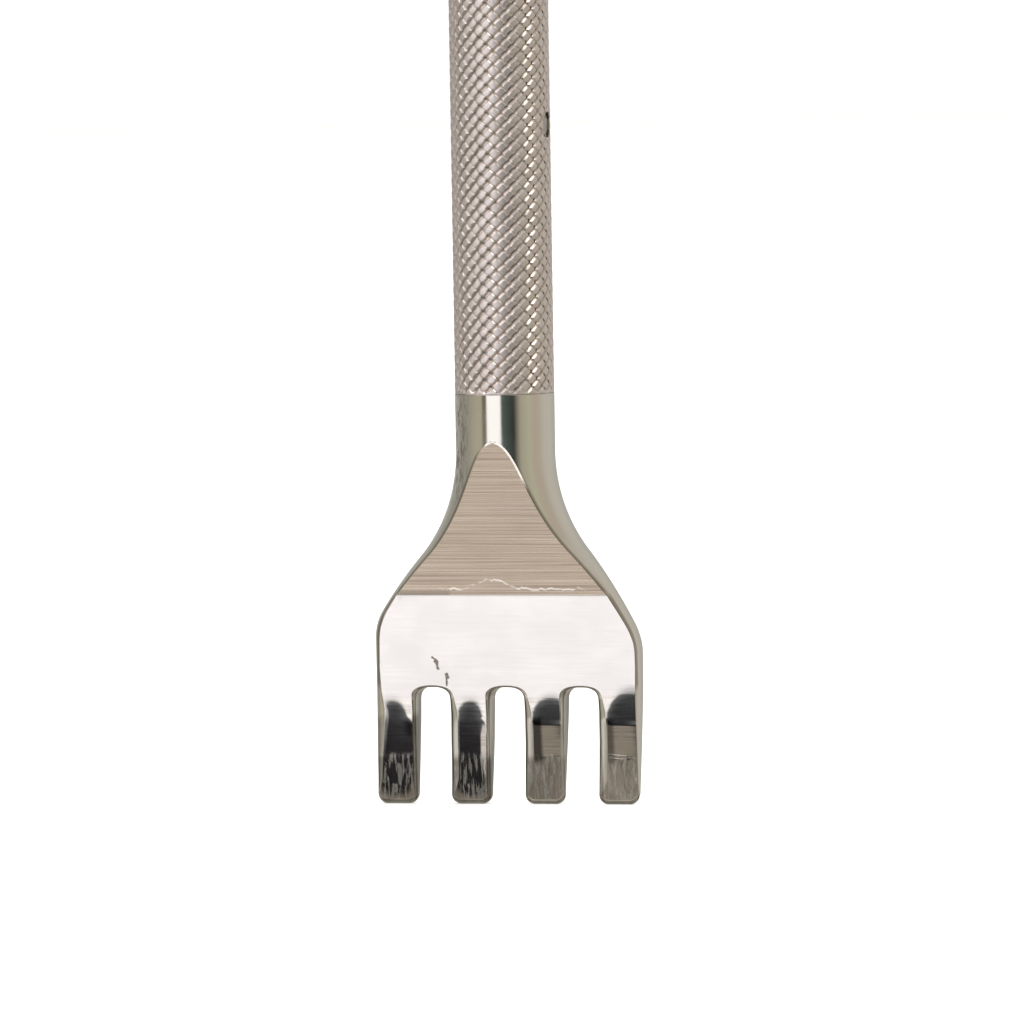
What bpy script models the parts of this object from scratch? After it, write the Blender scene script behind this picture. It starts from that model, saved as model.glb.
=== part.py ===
"""Four-tine pricking iron: a forged blade head, its knurled handle and the pin that locks them.

Metres, +Z up. The iron stands on its tine tips: the tips are at z = 0, the shank's axis is the
Z axis, the blade is widest along X, and its front face looks towards -Y.
"""

import math

import bmesh
import bpy

MM = 0.001

# Shank, shared by the neck of the head and the handle
SHANK_RADIUS = 4.0 * MM
SEAM_HEIGHT = 33.1 * MM            # where the neck ends and the knurled handle begins
FIT_GAP = 0.1 * MM                 # clearance left between mating pieces

# Outline of the blade, seen from the front: a hollow neck arc, a long flank arc, a shoulder arc
NECK_ARC_TOP = 28.4 * MM
NECK_ARC_RADIUS = 12.8 * MM
FLANK_ARC_RADIUS = 35.5 * MM
BLADE_HALF_WIDTH = 11.04 * MM
TINE_EDGE_TAPER = 0.007            # the outer edges draw in by this much per unit of height
LEFT, RIGHT = -1, 1
FLANK_TOP_ANGLE = {LEFT: math.radians(41.1), RIGHT: math.radians(37.9)}
FLANK_END_ANGLE = {LEFT: math.radians(32.3), RIGHT: math.radians(26.5)}

# Thickness, as (height, half thickness) corners from the edge of the tines up to the ramps' top
TIP_LAND = (0.0, 0.26 * MM)
EDGE_LAND = (0.65 * MM, 0.42 * MM)
BEVEL_TOP = (3.9 * MM, 0.80 * MM)
TINE_TOP = (8.4 * MM, 1.10 * MM)
RAMP_BOTTOM = (16.9 * MM, 1.42 * MM)
RAMP_TOP = (29.3 * MM, SHANK_RADIUS)
THICKNESS_CORNERS = (TIP_LAND, EDGE_LAND, BEVEL_TOP, TINE_TOP, RAMP_BOTTOM, RAMP_TOP)

# Slots between the tines
TINE_PITCH = 6.17 * MM
SLOT_WIDTH = 2.81 * MM
SLOT_CENTRES = (-TINE_PITCH, 0.0, TINE_PITCH)
SLOT_SPRING = 8.35 * MM            # height where a slot's straight walls turn into its round top
SLOT_RISE = 1.10 * MM
SLOT_SQUARENESS = 2.7              # exponent of the superellipse that rounds the slot's top
TIP_CORNER_RADIUS = 0.8 * MM
TIP_CORNER_SINK = 0.03 * MM        # lets the corner arc cross the tip instead of grazing it
CUTTER_REACH = 6.0 * MM            # how far a cutter runs past the blade

# Tang, bore and the pin across them
TANG_RADIUS = 2.5 * MM
TANG_LENGTH = 26.0 * MM
TANG_CHAMFER = 0.5 * MM
BORE_EXTRA_DEPTH = 1.0 * MM
PIN_RADIUS = 1.0 * MM
PIN_HEIGHT = 54.6 * MM
PIN_LENGTH = 7.4 * MM
PIN_CHAMFER = 0.2 * MM

# Handle
KNURL_STARTS = 22
KNURL_PITCH = 1.096 * MM           # rise from one diamond to the next one above it
KNURL_DEPTH = 0.2 * MM
KNURL_DIAMONDS = 46                # diamonds in a column, so the knurl is about 50 mm long
KNURL_RUNOUT = 0.3 * MM
TOTAL_HEIGHT = 110.0 * MM
STRIKING_CHAMFER = 0.6 * MM

# Mesh fineness
SIDE_STEPS = 12
OUTLINE_STEPS = 22
CORNER_STEPS = 5
SLOT_ARC_STEPS = 10
ROUND_STEPS = 32
CORNER_LIMIT = math.radians(86.0)  # where the ramp's sides start on the round neck
SHARP_ANGLE = math.radians(25.0)


def clear_scene():
    for item in list(bpy.data.objects):
        bpy.data.objects.remove(item, do_unlink=True)


def metal(name, colour, roughness):
    """Principled metal with one colour and roughness."""
    material = bpy.data.materials.new(name)
    material.use_nodes = True
    shader = material.node_tree.nodes["Principled BSDF"]
    shader.inputs["Base Color"].default_value = (*colour, 1.0)
    shader.inputs["Metallic"].default_value = 1.0
    shader.inputs["Roughness"].default_value = roughness
    return material


def loft(name, rings):
    """Closed body through rings of equal length, listed so that its faces point outwards."""
    shape = bmesh.new()
    loops = [[shape.verts.new(point) for point in ring] for ring in rings]
    count = len(rings[0])
    for lower, upper in zip(loops, loops[1:]):
        for i in range(count):
            j = (i + 1) % count
            shape.faces.new((lower[i], lower[j], upper[j], upper[i]))
    shape.faces.new(list(reversed(loops[0])))
    shape.faces.new(loops[-1])
    return finish_mesh(name, shape)


def finish_mesh(name, shape):
    mesh = bpy.data.meshes.new(name)
    shape.to_mesh(mesh)
    shape.free()
    mesh.shade_smooth()
    mesh.set_sharp_from_angle(angle=SHARP_ANGLE)
    body = bpy.data.objects.new(name, mesh)
    bpy.context.collection.objects.link(body)
    return body


def round_ring(radius, z, steps=ROUND_STEPS):
    turn = 2.0 * math.pi / steps
    return [(radius * math.cos(turn * i), radius * math.sin(turn * i), z) for i in range(steps)]


def cut(body, cutter):
    boolean = body.modifiers.new(cutter.name, "BOOLEAN")
    boolean.operation = "DIFFERENCE"
    boolean.solver = "EXACT"
    boolean.object = cutter


def hide_cutter(cutter):
    cutter.hide_render = True
    cutter.display_type = "WIRE"


# ---- head -------------------------------------------------------------------------------------

def convex_arc_below(x, z, angle, radius):
    """Centre of the convex arc that leaves the point (x, z) at this angle to the vertical."""
    return x - radius * math.cos(angle), z - radius * math.sin(angle)


def shoulder_half_width(z, side):
    """Half width of the blade's outline at height z, above the tips' rounded corners."""
    top_angle = FLANK_TOP_ANGLE[side]
    end_angle = FLANK_END_ANGLE[side]
    if z >= NECK_ARC_TOP:
        return SHANK_RADIUS
    flank_x = SHANK_RADIUS + NECK_ARC_RADIUS * (1.0 - math.cos(top_angle))
    flank_z = NECK_ARC_TOP - NECK_ARC_RADIUS * math.sin(top_angle)
    if z >= flank_z:
        hollow = math.sqrt(NECK_ARC_RADIUS ** 2 - (NECK_ARC_TOP - z) ** 2)
        return SHANK_RADIUS + NECK_ARC_RADIUS - hollow
    centre_x, centre_z = convex_arc_below(flank_x, flank_z, top_angle, FLANK_ARC_RADIUS)
    end_x = centre_x + FLANK_ARC_RADIUS * math.cos(end_angle)
    end_z = centre_z + FLANK_ARC_RADIUS * math.sin(end_angle)
    if z >= end_z:
        return centre_x + math.sqrt(FLANK_ARC_RADIUS ** 2 - (z - centre_z) ** 2)
    radius = (BLADE_HALF_WIDTH - end_x) / (1.0 - math.cos(end_angle))
    centre_x, centre_z = convex_arc_below(end_x, end_z, end_angle, radius)
    if z >= centre_z:
        return centre_x + math.sqrt(radius ** 2 - (z - centre_z) ** 2)
    return BLADE_HALF_WIDTH - TINE_EDGE_TAPER * (centre_z - z)


def half_width(z, side):
    width = shoulder_half_width(z, side)
    rise = TIP_CORNER_RADIUS - z - TIP_CORNER_SINK
    if rise > 0.0:
        width -= TIP_CORNER_RADIUS - math.sqrt(TIP_CORNER_RADIUS ** 2 - rise ** 2)
    return width


def half_thickness(z):
    """Half the distance between the two faces at height z: straight runs between the corners."""
    for (low, thin), (high, thick) in zip(THICKNESS_CORNERS, THICKNESS_CORNERS[1:]):
        if z <= high:
            return thin + (thick - thin) * (z - low) / (high - low)
    return SHANK_RADIUS


def head_section(z):
    """Ellipse as wide as the outline and as deep as the shank, cut flat front and back."""
    corner = min(math.asin(half_thickness(z) / SHANK_RADIUS), CORNER_LIMIT)
    ring = []
    for side, middle in ((RIGHT, 0.0), (LEFT, math.pi)):
        width = half_width(z, side)
        for i in range(SIDE_STEPS + 1):
            angle = middle + corner * (2.0 * i / SIDE_STEPS - 1.0)
            ring.append((width * abs(math.cos(angle)) * side, SHANK_RADIUS * math.sin(angle), z))
    return ring


def head_heights():
    """Heights of the head's sections: tip corners, corners of thickness, and the outline's arcs."""
    heights = {z for z, _ in THICKNESS_CORNERS}
    for i in range(1, CORNER_STEPS + 1):
        rise = TIP_CORNER_RADIUS - TIP_CORNER_SINK
        heights.add(rise * (1.0 - math.cos(0.5 * math.pi * i / CORNER_STEPS)))
    arcs_end = TINE_TOP[0] + SLOT_RISE
    for i in range(OUTLINE_STEPS + 1):
        heights.add(arcs_end + (NECK_ARC_TOP - arcs_end) * i / OUTLINE_STEPS)
    heights.add(SEAM_HEIGHT)
    return sorted(heights)


def tang_ring(radius, z):
    """Round ring with as many corners, in the same directions, as a section of the neck."""
    scale = radius / SHANK_RADIUS
    return [(x * scale, y * scale, z) for x, y, _ in head_section(SEAM_HEIGHT)]


def slot_half_outline():
    """Right half of a slot's outline, from its top middle down to past the tines' tips."""
    half = SLOT_WIDTH / 2.0
    points = []
    for i in range(SLOT_ARC_STEPS + 1):
        angle = 0.5 * math.pi * (1.0 - i / SLOT_ARC_STEPS)
        across = max(math.cos(angle), 0.0) ** (2.0 / SLOT_SQUARENESS)
        up = math.sin(angle) ** (2.0 / SLOT_SQUARENESS)
        points.append((half * across, SLOT_SPRING + SLOT_RISE * up))
    centre_x = half + TIP_CORNER_RADIUS
    centre_z = TIP_CORNER_RADIUS - TIP_CORNER_SINK
    for i in range(CORNER_STEPS + 1):
        angle = 0.5 * math.pi * i / CORNER_STEPS
        x = centre_x - TIP_CORNER_RADIUS * math.cos(angle)
        points.append((x, centre_z - TIP_CORNER_RADIUS * math.sin(angle)))
    points.append((centre_x, -CUTTER_REACH))
    return points


def make_slot_cutter():
    """One prism for each slot, with the rounded corners of the tines on both sides of it."""
    right = slot_half_outline()
    left = [(-x, z) for x, z in reversed(right[1:])]
    shape = bmesh.new()
    for centre in SLOT_CENTRES:
        corners = [shape.verts.new((centre + x, -CUTTER_REACH, z)) for x, z in right + left]
        face = shape.faces.new(corners)
        grown = bmesh.ops.extrude_face_region(shape, geom=[face])["geom"]
        moved = [item for item in grown if isinstance(item, bmesh.types.BMVert)]
        bmesh.ops.translate(shape, verts=moved, vec=(0.0, 2.0 * CUTTER_REACH, 0.0))
    bmesh.ops.recalc_face_normals(shape, faces=shape.faces)
    cutter = finish_mesh("slot_cutter", shape)
    hide_cutter(cutter)
    return cutter


def make_head(pin_cutter):
    """Blade with its tines, ramps and round neck, and the turned tang above the shoulder."""
    rings = [head_section(z) for z in head_heights()]
    tang_top = SEAM_HEIGHT + TANG_LENGTH
    rings.append(tang_ring(TANG_RADIUS, SEAM_HEIGHT))
    rings.append(tang_ring(TANG_RADIUS, tang_top - TANG_CHAMFER))
    rings.append(tang_ring(TANG_RADIUS - TANG_CHAMFER, tang_top))
    head = loft("tined_head", rings)
    cut(head, make_slot_cutter())
    cut(head, pin_cutter)
    head.data.materials.append(metal("bright_nickel", (0.80, 0.77, 0.72), 0.14))
    return head


# ---- handle and pin -----------------------------------------------------------------------------

def knurl_ring(row, z):
    """Crests and valleys take turns round the ring, and swap places from one row to the next."""
    count = 2 * KNURL_STARTS
    ring = []
    for column in range(count):
        valley = (row + column) % 2 == 0
        radius = SHANK_RADIUS - KNURL_DEPTH if valley else SHANK_RADIUS
        angle = 2.0 * math.pi * column / count
        ring.append((radius * math.cos(angle), radius * math.sin(angle), z))
    return ring


def add_knurl_faces(shape, row, lower, upper):
    """Each square is split along its valleys, so that four triangles rise to every crest."""
    count = len(lower)
    for i in range(count):
        j = (i + 1) % count
        if (row + i) % 2 == 0:
            shape.faces.new((lower[i], lower[j], upper[j]))
            shape.faces.new((lower[i], upper[j], upper[i]))
        else:
            shape.faces.new((lower[i], lower[j], upper[i]))
            shape.faces.new((lower[j], upper[j], upper[i]))


def make_handle(pin_cutter):
    """Round bar with a diamond-knurled grip, a flat striking end and a blind bore for the tang."""
    shape = bmesh.new()
    count = 2 * KNURL_STARTS
    bottom = SEAM_HEIGHT + FIT_GAP
    rows = 2 * KNURL_DIAMONDS
    grip_top = bottom + rows * KNURL_PITCH / 2.0
    bore_top = SEAM_HEIGHT + TANG_LENGTH + BORE_EXTRA_DEPTH
    bore_radius = TANG_RADIUS + FIT_GAP
    knurl = []
    for row in range(rows + 1):
        ring = knurl_ring(row, bottom + row * KNURL_PITCH / 2.0)
        knurl.append([shape.verts.new(point) for point in ring])
    for row in range(rows):
        add_knurl_faces(shape, row, knurl[row], knurl[row + 1])
    plain_rings = (
        round_ring(SHANK_RADIUS, grip_top + KNURL_RUNOUT, count),
        round_ring(SHANK_RADIUS, TOTAL_HEIGHT - STRIKING_CHAMFER, count),
        round_ring(SHANK_RADIUS - STRIKING_CHAMFER, TOTAL_HEIGHT, count),
    )
    above = [knurl[-1]] + [[shape.verts.new(point) for point in ring] for ring in plain_rings]
    mouth = [shape.verts.new(point) for point in round_ring(bore_radius, bottom, count)]
    blind = [shape.verts.new(point) for point in round_ring(bore_radius, bore_top, count)]
    steps = list(zip(above, above[1:])) + [(mouth, knurl[0]), (blind, mouth)]
    for lower, upper in steps:
        for i in range(count):
            j = (i + 1) % count
            shape.faces.new((lower[i], lower[j], upper[j], upper[i]))
    shape.faces.new(above[-1])
    shape.faces.new(list(reversed(blind)))
    handle = finish_mesh("knurled_handle", shape)
    cut(handle, pin_cutter)
    handle.data.materials.append(metal("satin_nickel", (0.74, 0.69, 0.64), 0.28))
    return handle


def make_pin_cutter():
    """Drill for the pin's hole, from side to side through the handle and the tang."""
    radius = PIN_RADIUS + FIT_GAP
    rings = [round_ring(radius, z) for z in (-CUTTER_REACH, CUTTER_REACH)]
    cutter = loft("pin_cutter", rings)
    cutter.rotation_euler = (0.0, math.pi / 2.0, 0.0)
    cutter.location = (0.0, 0.0, PIN_HEIGHT)
    hide_cutter(cutter)
    return cutter


def make_pin():
    """Straight pin with chamfered ends, driven across the handle and sunk below its surface."""
    half = PIN_LENGTH / 2.0
    stations = (
        (PIN_RADIUS - PIN_CHAMFER, -half),
        (PIN_RADIUS, PIN_CHAMFER - half),
        (PIN_RADIUS, half - PIN_CHAMFER),
        (PIN_RADIUS - PIN_CHAMFER, half),
    )
    pin = loft("retaining_pin", [round_ring(radius, z) for radius, z in stations])
    pin.rotation_euler = (0.0, math.pi / 2.0, 0.0)
    pin.location = (0.0, 0.0, PIN_HEIGHT)
    pin.data.materials.append(metal("hardened_steel", (0.55, 0.54, 0.53), 0.35))
    return pin


def main():
    clear_scene()
    iron = bpy.data.objects.new("pricking_iron", None)
    bpy.context.collection.objects.link(iron)
    pin_cutter = make_pin_cutter()
    for piece in (make_head(pin_cutter), make_handle(pin_cutter), make_pin()):
        piece.parent = iron


main()
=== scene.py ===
"""Looks of the four-tine pricking iron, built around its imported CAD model.

The CAD nodes give the places and the main sizes. The plated head, the knurled handle and the pin
are rebuilt here as fine meshes with rounded edges, and get node materials for nickel plate,
milled ramps, ground tines and worn knurl. Shape sizes below are in millimetres, and each mesh is
scaled to metres as it is made.
"""

import math

import bmesh
import bpy
import numpy as np
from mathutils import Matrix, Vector
from mathutils.geometry import delaunay_2d_cdt


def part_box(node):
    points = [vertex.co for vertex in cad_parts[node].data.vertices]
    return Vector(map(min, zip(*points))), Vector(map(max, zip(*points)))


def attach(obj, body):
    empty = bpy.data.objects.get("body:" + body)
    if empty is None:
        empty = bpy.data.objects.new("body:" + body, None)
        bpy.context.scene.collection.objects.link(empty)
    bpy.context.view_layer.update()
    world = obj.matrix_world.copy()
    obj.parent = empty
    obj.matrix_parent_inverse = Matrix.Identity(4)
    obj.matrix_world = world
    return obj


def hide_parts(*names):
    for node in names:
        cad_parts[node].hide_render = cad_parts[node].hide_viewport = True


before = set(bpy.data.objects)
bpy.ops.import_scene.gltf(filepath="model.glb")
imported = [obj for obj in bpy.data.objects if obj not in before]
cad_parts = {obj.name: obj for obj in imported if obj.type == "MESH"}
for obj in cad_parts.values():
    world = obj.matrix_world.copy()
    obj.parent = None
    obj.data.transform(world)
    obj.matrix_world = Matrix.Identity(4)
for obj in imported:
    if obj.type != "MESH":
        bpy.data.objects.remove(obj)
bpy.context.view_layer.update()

MM = 0.001
HEAD_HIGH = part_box("tined_head")[1] / MM
HANDLE_LOW, HANDLE_HIGH = (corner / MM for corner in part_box("knurled_handle"))
PIN_LOW, PIN_HIGH = (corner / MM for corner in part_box("retaining_pin"))

# Sizes worked out from the frame, in millimetres
SHANK_RADIUS = HANDLE_HIGH.x
TOP_Z = HANDLE_HIGH.z
BLADE_HALF_WIDTH = HEAD_HIGH.x
CAD_FIT_GAP = 0.1
SEAM_Z = HANDLE_LOW.z - CAD_FIT_GAP
TANG_TOP_Z = HEAD_HIGH.z

# Outline of the blade: a hollow neck arc, a long flank arc, a shoulder arc, a straight edge
NECK_ARC_TOP = 28.4
NECK_ARC_RADIUS = 12.8
FLANK_ARC_RADIUS = 35.5
EDGE_TAPER = 0.007
LEFT, RIGHT = -1, 1
FLANK_TOP_ANGLE = {LEFT: math.radians(41.1), RIGHT: math.radians(37.9)}
FLANK_END_ANGLE = {LEFT: math.radians(32.3), RIGHT: math.radians(26.5)}

# Faces, as half thicknesses (depth of the face in front of the middle plane)
FLAT_LOW = (8.4, 1.10)             # height and half thickness at the foot of the flat face
RAMP_LOW = (16.9, 1.42)            # where the flat face meets the milled ramp
RAMP_APEX = 29.3                   # where the ramp runs out on the front of the neck
RAMP_SLOPE = (SHANK_RADIUS - RAMP_LOW[1]) / (RAMP_APEX - RAMP_LOW[0])
FLAT_SLOPE = (RAMP_LOW[1] - FLAT_LOW[1]) / (RAMP_LOW[0] - FLAT_LOW[0])
VALLEY_BLEND = 0.003
CRISP = 0.015                      # rows of points this far each side of the valley line
VALLEY_ROWS = (RAMP_LOW[0] - CRISP, RAMP_LOW[0], RAMP_LOW[0] + CRISP)

# Tines: each is ground hollow below the flat face, then bevelled to its edge
TINE_PITCH = 6.17
SLOT_WIDTH = 2.81
SLOT_CENTRES = (-TINE_PITCH, 0.0, TINE_PITCH)
TINE_CENTRES = tuple(i * TINE_PITCH for i in (-1.5, -0.5, 0.5, 1.5))
TINE_HALF_WIDTH = 1.68
SLOT_SPRING = 8.35
SLOT_RISE = 1.10
SLOT_SQUARENESS = 2.7
TIP_CORNER = 0.8
EDGE_HEIGHT = 0.65                 # top of the narrow land along a tine's edge
EDGE_SLOPE = 0.125
BEVEL_TOP = 3.9
HOLLOW_CROWN = 0.09
HOLLOW_BLEND = 0.02
HOLLOW_SLOPE = 0.070
HOLLOW_CURVE = 0.0012
KNEE = 6.4                         # below it the hollows of the two tines at the right are steeper
KNEE_SLANT = 0.06
# per tine: height where the hollow starts, slant of that line, extra slope below the knee, half
# thickness at the top of the narrow land along its edge, and how its right side curls out or in
HOLLOWS = (
    (8.35, -0.10, 0.0, 0.495, -0.04),
    (8.35, 0.06, 0.0, 0.495, 0.03),
    (8.50, 0.22, 0.045, 0.26, 0.0),
    (8.75, 0.42, 0.045, 0.26, 0.0),
)
# the tines stand a little askew on the blade below LEAN_TOP, and draw together towards their tips
LEAN_TOP = 9.6
TINE_LEAN = 0.0215
TINE_CLOSING = 0.0008

# Rounded edges
EDGE_RADIUS = 0.38
SLOT_TOP_RADIUS = 0.17
TINE_EDGE_REACH = (0.30, 0.50, 0.86)    # at the right, the tip and the left of a tine, along the face
TINE_EDGE_DROP = (0.30, 0.50, 0.72)     # and how deep the rounding goes there
EDGE_STEPS = 18
BLEND_STEPS = 6
SIDE_WALL = 0.14                   # half height of the strip along the silhouette
NECK_EDGE = 0.03                   # rounded edge at the top of the neck

SMALL = 0.004                      # step for slopes taken by differences


# ---- shape of the head ----

def smooth_min(a, b, reach):
    """Smaller of two heights, rounded over where they are within reach, and b's share of it."""
    near = np.maximum(reach - np.abs(a - b), 0.0) / reach
    share = np.where(a < b, 0.5 * near, 1.0 - 0.5 * near)
    return np.minimum(a, b) - near * near * reach / 4.0, share


def outline(z, side):
    """Half width of the blade at heights z, above the rounded corners of the tips."""
    z = np.asarray(z, float)
    top, end = FLANK_TOP_ANGLE[side], FLANK_END_ANGLE[side]
    flank_x = SHANK_RADIUS + NECK_ARC_RADIUS * (1.0 - math.cos(top))
    flank_z = NECK_ARC_TOP - NECK_ARC_RADIUS * math.sin(top)
    centre_x = flank_x - FLANK_ARC_RADIUS * math.cos(top)
    centre_z = flank_z - FLANK_ARC_RADIUS * math.sin(top)
    end_x = centre_x + FLANK_ARC_RADIUS * math.cos(end)
    end_z = centre_z + FLANK_ARC_RADIUS * math.sin(end)
    radius = (BLADE_HALF_WIDTH - end_x) / (1.0 - math.cos(end))
    low_x, low_z = end_x - radius * math.cos(end), end_z - radius * math.sin(end)

    def arc(size, middle):
        return np.sqrt(np.maximum(size ** 2 - (z - middle) ** 2, 0.0))

    neck = SHANK_RADIUS + NECK_ARC_RADIUS - arc(NECK_ARC_RADIUS, NECK_ARC_TOP)
    flank = centre_x + arc(FLANK_ARC_RADIUS, centre_z)
    shoulder = low_x + arc(radius, low_z)
    straight = BLADE_HALF_WIDTH - EDGE_TAPER * (low_z - z)
    return np.select(
        [z >= NECK_ARC_TOP, z >= flank_z, z >= end_z, z >= low_z],
        [np.full_like(z, SHANK_RADIUS), neck, flank, shoulder],
        straight,
    )


def outline_slope(z, side):
    return (outline(z + SMALL, side) - outline(z - SMALL, side)) / (2.0 * SMALL)


def face_depth(x, z):
    """Half thickness between the ground faces at (x, z), before the edges are rounded."""
    x, z = np.broadcast_arrays(np.asarray(x, float), np.asarray(z, float))
    flat = FLAT_LOW[1] + (z - FLAT_LOW[0]) * FLAT_SLOPE
    milled = RAMP_LOW[1] + (z - RAMP_LOW[0]) * RAMP_SLOPE
    faces = -smooth_min(-flat, -milled, VALLEY_BLEND)[0]
    tine = np.clip(np.floor(x / TINE_PITCH + 2.0), 0, 3).astype(int)
    start, slant, extra, edge, curl = (column[tine] for column in np.array(HOLLOWS).T)
    aside = x - np.array(TINE_CENTRES)[tine]
    crown = HOLLOW_CROWN * np.minimum(np.abs(aside / TINE_HALF_WIDTH), 1.2) ** 2
    share = np.interp(z, [EDGE_HEIGHT, BEVEL_TOP, 6.8, 8.3], [0.3, 1.0, 1.0, 0.35])
    flatter = np.interp(z, [EDGE_HEIGHT, BEVEL_TOP, 6.8], [0.3, 1.0, 0.35])
    on_right = (tine > 1) & (aside > 0.0)      # right halves of the two tines at the right
    crown = crown * np.where(on_right, flatter, share)
    curl = curl * np.interp(z, [1.6, 4.2, 5.6, 7.0], [0.0, 1.0, 1.0, 0.0])
    crown = crown + curl * np.maximum(aside - 0.5, 0.0) ** 2
    foot = FLAT_LOW[1] + (start - FLAT_LOW[0]) * FLAT_SLOPE

    def hollow_at(below, drop):
        curve = HOLLOW_CURVE * below * np.abs(below)
        return foot - below * HOLLOW_SLOPE - curve - extra * np.maximum(drop, 0.0)

    line, knee = start + slant * aside, KNEE + KNEE_SLANT * aside
    hollow = hollow_at(np.maximum(line - z, -1.0), knee - z) + crown
    bevel_top = hollow_at(line - BEVEL_TOP, knee - BEVEL_TOP)
    bevel_slope = (bevel_top - edge) / (BEVEL_TOP - EDGE_HEIGHT)
    bevel = edge + (z - EDGE_HEIGHT) * bevel_slope + crown
    land = edge + (z - EDGE_HEIGHT) * EDGE_SLOPE
    ground = np.where(z < BEVEL_TOP, bevel, hollow)
    ground = smooth_min(ground, land, HOLLOW_BLEND)[0]
    ground = np.where(z > start + 1.0, faces + 1.0, ground)
    return smooth_min(faces, ground, HOLLOW_BLEND)[0]


def face_normal(x, z):
    """Outward direction of the front face at (x, z), not yet of length 1."""
    dx = (face_depth(x + SMALL, z) - face_depth(x - SMALL, z)) / (2.0 * SMALL)
    dz = (face_depth(x, z + SMALL) - face_depth(x, z - SMALL)) / (2.0 * SMALL)
    return np.stack([-dx, -np.ones_like(dx), -dz], axis=-1)


def unit(vectors):
    return vectors / np.linalg.norm(vectors, axis=-1, keepdims=True)


def edge_blend(z, side):
    """How far the edge between face and side is rounded: soft on the tines, crisp on the ramp."""
    heights = [0.0, 2.0, 7.4, 9.5, 11.0, 16.0, 18.0, 28.0]
    reach = float(np.interp(z, heights, [0.12, 0.50, 0.60, 0.30, 0.16, 0.12, 0.06, 0.02]))
    on_tine = {LEFT: 1.5, RIGHT: 0.55}[side]
    return reach * float(np.interp(z, [7.5, 9.5], [on_tine, 1.0]))


def side_inset(z, side):
    """Share of the round section's inset that is left at height z: the blade's sides are squarer."""
    low = {LEFT: 0.85, RIGHT: 0.40}[side]
    return float(np.interp(z, [13.0, 17.5], [low, 1.0]))


def side_column(z, side):
    """Points from the silhouette to the face at height z: places, depths and normals."""
    width = float(outline(z, side))
    reach = edge_blend(z, side)
    depth = float(face_depth(side * 0.97 * width, z))
    wall = min(SIDE_WALL, 0.35 * depth)
    low = math.asin(wall / SHANK_RADIUS)
    mid = math.asin(min(1.0, max(depth - reach, wall * 1.2) / SHANK_RADIUS))
    top = math.asin(min(1.0, (depth + reach) / SHANK_RADIUS))
    mid = min(mid, low + 0.92 * (top - low))
    straight = np.linspace(low, mid, EDGE_STEPS - BLEND_STEPS + 1)
    angle = np.concatenate([straight, np.linspace(mid, top, BLEND_STEPS + 1)[1:]])
    inset = side_inset(z, side)
    x = side * width * (1.0 - inset * (1.0 - np.cos(angle)))
    round_depth = SHANK_RADIUS * np.sin(angle)
    faces = face_depth(x, z)
    y, share = smooth_min(faces, round_depth, reach)
    slope = float(outline_slope(z, side))
    scale = SHANK_RADIUS ** 2 / round_depth
    rounded = np.stack([
        scale * x / width ** 2 / inset,
        -np.ones_like(x),
        -scale * x * x * slope / width ** 3,
    ], axis=-1)
    normal = (1.0 - share)[:, None] * face_normal(x, z) + share[:, None] * rounded
    return np.stack([x, -y, np.full_like(x, z)], axis=-1), unit(normal)


def wall_rounding(z, aside, sizes):
    """Size of the rounding at height z of a wall that faces aside: sizes hold low on the tines."""
    low = np.interp(aside, [-1, 0, 1], sizes)
    return float(np.interp(z, [7.3, 8.9, 9.4], [low, EDGE_RADIUS, SLOT_TOP_RADIUS]))


def wall_column(point, inward):
    """Points from a slot's or tip's wall to the face: a quarter round."""
    x0, z0 = point
    reach_by_tip = float(np.interp(z0, [0.8, 3.0], [0.40, 1.2]))
    reach = min(wall_rounding(z0, inward[0], TINE_EDGE_REACH), reach_by_tip)
    drop = min(wall_rounding(z0, inward[0], TINE_EDGE_DROP), 0.88 * float(face_depth(x0, z0)))
    turn = 0.5 * math.pi * np.arange(EDGE_STEPS + 1) / EDGE_STEPS
    x = x0 + inward[0] * reach * (1.0 - np.cos(turn))
    z = z0 + inward[1] * reach * (1.0 - np.cos(turn))
    y = face_depth(x, z) - drop * (1.0 - np.sin(turn))
    outward = drop * np.array([-inward[0], 0.0, -inward[1]])
    facing = reach * unit(face_normal(x, z))
    normal = np.cos(turn)[:, None] * outward + np.sin(turn)[:, None] * facing
    return np.stack([x, -y, z], axis=-1), unit(normal)


def side_heights():
    """Heights of the columns down one side of the head, from the seam to the tips' corners."""
    top = SEAM_Z - NECK_EDGE
    rows = np.arange(TIP_CORNER, top, 0.25)
    return np.unique(np.concatenate([rows, VALLEY_ROWS, [top]]))[::-1]


def corner_arc(centre_x, start_angle, steps=10):
    """Rounded corner of a tine's tip, a quarter turn about (centre_x, TIP_CORNER)."""
    for i in range(steps + 1):
        angle = start_angle + 0.5 * math.pi * i / steps
        outward = (math.cos(angle), math.sin(angle))
        point = (centre_x + TIP_CORNER * outward[0], TIP_CORNER * (1.0 + outward[1]))
        yield point, (-outward[0], -outward[1])


def straight_run(start, end, inward, step=0.2):
    """Points between start and end, without either of them."""
    length = math.dist(start, end)
    count = max(2, round(length / step))
    for i in range(1, count):
        share = i / count
        point = tuple(a + (b - a) * share for a, b in zip(start, end))
        yield point, inward


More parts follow.
